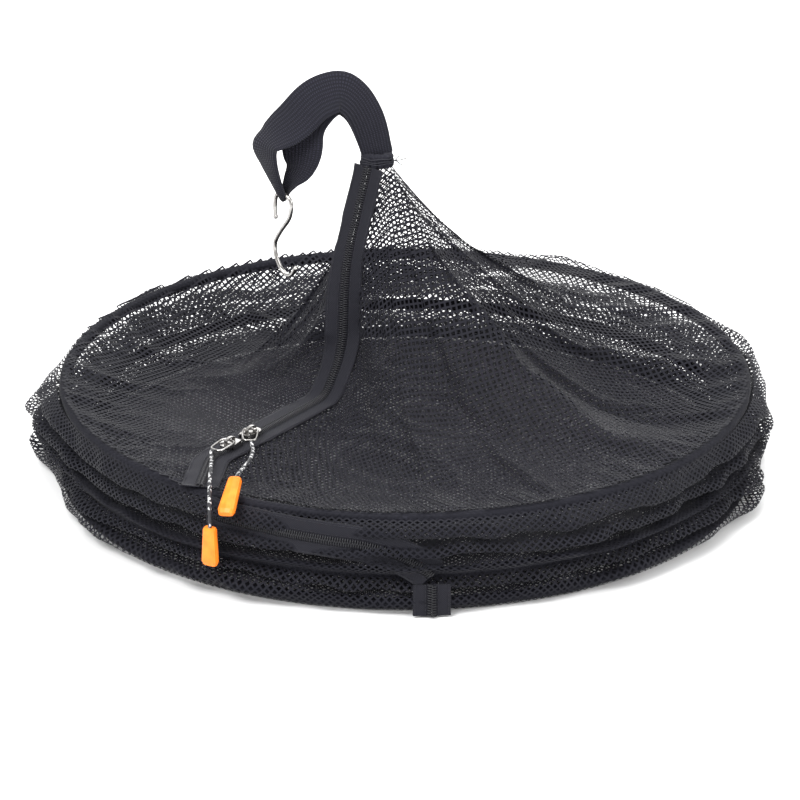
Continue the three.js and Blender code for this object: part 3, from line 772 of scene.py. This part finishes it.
# --- Handle, collar and hook ---------------------------------------------------------------------------
HANDLE = np.array([
    [-15.6, -0.6, 192.4, 1, 0.12, -0.1, 0.68], [-19.1, -0.8, 207.6, 0.97, 0.26, -0.04, 0.8],
    [-22.9, -1.2, 218.2, 0.9, 0.37, 0.24, 0.82], [-28.4, -1.8, 227, 0.59, 0.53, 0.61, 0.88],
    [-35.9, -2.6, 232.4, 0.24, 0.51, 0.82, 0.97], [-44.9, -3.6, 230.9, -0.12, 0.48, 0.87, 1],
    [-53, -5, 226.4, -0.54, 0.46, 0.7, 1], [-63.2, -7, 216.3, -0.84, 0.45, 0.29, 1],
    [-74.8, -9, 207.7, -0.85, 0.52, -0.06, 0.98], [-79.9, -10.6, 201.7, -0.6, 0.71, -0.36, 0.9],
    [-78, -12, 191.3, -0.43, 0.8, -0.41, 0.7], [-74.6, -13.6, 181, -0.62, 0.74, -0.25, 0.34],
    [-71.9, -13.8, 174.4, -0.7, 0.71, 0, 0.2], [-69.4, -11.5, 169.6, -0.7, 0.71, 0, 0.18],
    [-66.9, -9.2, 174.4, -0.7, 0.71, 0, 0.2], [-63.9, -8.6, 181, -0.75, 0.6, -0.2, 0.4],
    [-60, -8.6, 188.4, -0.89, 0.38, -0.25, 0.82], [-58.6, -7.6, 198.6, -0.94, 0.22, -0.25, 1],
    [-58.3, -5.4, 209.5, -0.96, 0.11, -0.25, 1], [-54, -2.2, 218.8, -0.73, 0.4, 0.55, 1],
    [-44.9, -0.6, 227.9, -0.14, 0.48, 0.87, 1], [-36.2, 0.4, 229.4, 0.24, 0.51, 0.82, 0.97],
    [-29, 1.2, 224.7, 0.59, 0.53, 0.61, 0.88], [-23.3, 1.8, 216.1, 0.9, 0.37, 0.23, 0.82],
    [-19.4, 2.3, 205.9, 0.97, 0.26, -0.04, 0.8], [-15.6, 2.6, 192.4, 1, 0.12, -0.1, 0.68],
])


def handle():
    count = 161
    both = spline(HANDLE[:, :3] * MM, count)
    at = np.concatenate([[0], np.cumsum(np.linalg.norm(np.diff(HANDLE[:, :3], axis=0), axis=1))])
    at /= at[-1]
    t = np.linspace(0, 1, count)
    direction = np.stack([np.interp(t, at, HANDLE[:, k]) for k in (3, 4, 5)], -1)
    width = np.interp(t, at, HANDLE[:, 6])
    for values in (direction[:, 0], direction[:, 1], direction[:, 2], width):
        values[:] = np.convolve(np.pad(values, 6, "edge"), np.ones(13) / 13, "valid")
    tangent = np.gradient(both, axis=0)
    tangent /= np.linalg.norm(tangent, axis=1, keepdims=True)
    direction -= tangent * np.sum(direction * tangent, 1, keepdims=True)
    direction /= np.linalg.norm(direction, axis=1, keepdims=True)
    normal = np.cross(direction, tangent)
    half = 12.5 * MM * width
    across = np.linspace(-1, 1, 13)
    cup = (1 - width)[:, None] * 9 * MM * (np.abs(across) ** 2)[None]
    layers = []
    for level in (0.75 * MM, -0.75 * MM):
        thick = level * (1 - 0.35 * np.abs(across) ** 8)
        layers.append(
            both[:, None] + direction[:, None] * (across[None] * half[:, None])[..., None]
            + normal[:, None] * (thick[None] - cup * 0.3)[..., None]
        )
    section = np.concatenate([layers[0], layers[1][:, ::-1]], 1)
    rows, columns = section.shape[:2]
    caps = [
        [first + k, first + k + 1, first + columns - 2 - k, first + columns - 1 - k]
        for first in (0, (rows - 1) * columns)
        for k in range(columns // 2 - 1)
    ]
    faces = np.vstack([grid_faces(rows, columns, wrap=True), caps])
    points = section.reshape(-1, 3)
    strap = mesh_piece("Handle", points, faces, WEBBING, body="handle", node="handle_strap")
    along = np.broadcast_to(np.linspace(0, length_of(both), rows)[:, None], (rows, columns))
    spread = np.concatenate([across, across[::-1]]) * 12.5 * MM
    cloth_map(strap, np.broadcast_to(spread, (rows, columns)), along)


def collar():
    """The top of the net, its tape and the webbing's foot, bound round and sewn through."""
    lo, hi = span("apex_collar")
    centre = (lo + hi) / 2
    half = (hi - lo) / 2
    angle = np.linspace(0, 2 * np.pi, 96, endpoint=False)
    pleat = 1 + 0.07 * np.sin(angle * 13) + 0.05 * np.sin(angle * 29 + 1)
    rows = []
    for z, wide in ((-1.9, 0.86), (-1.0, 1.0), (0.0, 0.94), (0.9, 0.98), (1.25, 0.9), (1.4, 0.5)):
        shape = 1 + (pleat - 1) * (1.6 if z < 0 else 0.7)
        rows.append(np.stack([
            centre[0] + half[0] * wide * shape * np.cos(angle), centre[1] + half[1] * wide * shape * np.sin(angle),
            np.full(96, centre[2] + half[2] * z),
        ], -1))
    grid = np.array(rows)
    points = grid.reshape(-1, 3)
    faces = grid_faces(len(rows), 96, wrap=True)
    mesh_piece("ApexWrap", points, faces, BINDING, body="apex", node="apex_collar")
    for k, z in enumerate((-0.7, -0.2, 0.5)):
        loop = np.stack([
            centre[0] + half[0] * 1.03 * np.cos(angle), centre[1] + half[1] * 1.05 * np.sin(angle),
            centre[2] + half[2] * z + 0.3 * MM * np.sin(angle * 5 + k),
        ], -1)
        points, faces = tube(loop, 0.3 * MM, 6, closed=True)
        mesh_piece(f"ApexThread{k}", points, faces, THREAD, body="apex")
    for k, (dx, dz) in enumerate(((7, -3), (9, 1.5), (5, 3))):
        start = np.array([hi[0] - 0.0015, centre[1] - 0.002, centre[2]])
        bend = start + np.array([dx * 0.5, -1 - k, dz * 0.2]) * MM
        tail = spline([start, bend, start + np.array([dx, -2, dz]) * MM], 14)
        points, faces = tube(tail, 0.28 * MM, 5)
        mesh_piece(f"ApexTail{k}", points, faces, THREAD, body="apex")


HOOK = np.array([
    [-6.5, -9], [-6.8, -2], [-5.8, 3.6], [-2.4, 6.2], [2.4, 6.2], [5.8, 3.6], [6.4, -1], [4.2, -8],
    [-2.5, -17], [-7, -25], [-6.5, -32.5], [-2.5, -39.5], [2.5, -42.5], [6.5, -41], [9.5, -36.5],
]) * MM


HOOK_AT = (-0.0694, -0.0115, 0.1673)  # the middle of the hook's eye


def hook():
    x, y, z = HOOK_AT
    turn = math.radians(-45)
    line = spline(HOOK, 140)
    path = np.stack([line[:, 0] * math.cos(turn) + x, line[:, 0] * math.sin(turn) + y, line[:, 1] + z], -1)
    points, faces = tube(path, 1.25 * MM, 14)
    mesh_piece("SHook", points, faces, STEEL, body="hook", node="s_hook")
    for k, end in enumerate((path[0], path[-1])):
        bpy.ops.mesh.primitive_uv_sphere_add(radius=1.45 * MM, location=end, segments=20, ring_count=12)
        ball = bpy.context.object
        ball.name = f"HookTip{k}"
        ball.data.materials.append(STEEL)
        bpy.ops.object.shade_smooth()
        finish_piece(ball, "hook", None)


# --- Build -------------------------------------------------------------------------------------------
roof()
# Each bulge of a wall: azimuth and width in degrees, how far out and how high in mm.
LOWER_BULGES = [(-97, 16, 12, 12), (72, 9, 9, 11), (96, 8, 6, 9)]
UPPER_BULGES = [(-92, 18, 11, 35), (84, 8, 7, 36), (30, 14, 4, 34)]
wall("LowerWall", wall_grid(LOWER_FOLDS, 3, LOWER_BULGES), "lower_wall_net")
wall("UpperWall", wall_grid(UPPER_FOLDS, 5, UPPER_BULGES), "upper_wall_net")
tray("BaseNet", "base_net", "base", 0)
tray("TrayNet", "tray_net", "middle", 0.006)
for number, hoop in enumerate(("base", "middle", "top")):
    sleeve(hoop, 3.3, 40 + number)
    for part in ("wire", "ferrule"):
        shown = frame["nodes"][f"{hoop}_hoop_{part}"]
        shown.data.materials.clear()
        shown.data.materials.append(WIRE if part == "wire" else STEEL)
zips()
hardware()
pulls()
handle()
collar()
hook()


# --- Floor, light and camera ----------------------------------------------------------------------------
def area_light(name, place, size, power, look_at=(0, 0, 0.06)):
    data = bpy.data.lights.new(name, "AREA")
    data.energy = power
    data.size = size
    light = bpy.data.objects.new(name, data)
    light.location = place
    light.rotation_euler = (Vector(look_at) - Vector(place)).to_track_quat("-Z", "Y").to_euler()
    bpy.context.scene.collection.objects.link(light)


bpy.ops.mesh.primitive_plane_add(size=14, location=(0, 2, -0.0006))
floor = bpy.context.object
floor.name = "Floor"
floor.data.materials.append(material("FloorPaper", (0.86, 0.86, 0.86), 0.6))
area_light("Key", (-0.9, -1.1, 1.5), 0.9, 42)
area_light("Fill", (1.3, -0.9, 0.9), 1.2, 20)
area_light("Top", (0.1, 0.4, 1.7), 1.4, 26)
area_light("Back", (0.2, 1.9, 0.8), 1.6, 16)
world = bpy.data.worlds.new("Studio")
world.use_nodes = True
world.node_tree.nodes["Background"].inputs["Color"].default_value = (1, 1, 1, 1)
world.node_tree.nodes["Background"].inputs["Strength"].default_value = 0.9
bpy.context.scene.world = world

data = bpy.data.cameras.new("Camera")
data.lens = 256
data.sensor_width = 36
camera = bpy.data.objects.new("Camera", data)
elevation = math.radians(23)
target = Vector((-0.003, 0, 0.0415))
distance = 3.3
camera.location = target + Vector((0, -math.cos(elevation), math.sin(elevation))) * distance
camera.rotation_euler = (target - camera.location).to_track_quat("-Z", "Y").to_euler()
bpy.context.scene.collection.objects.link(camera)
bpy.context.scene.camera = camera
bpy.context.scene.view_settings.view_transform = "Standard"
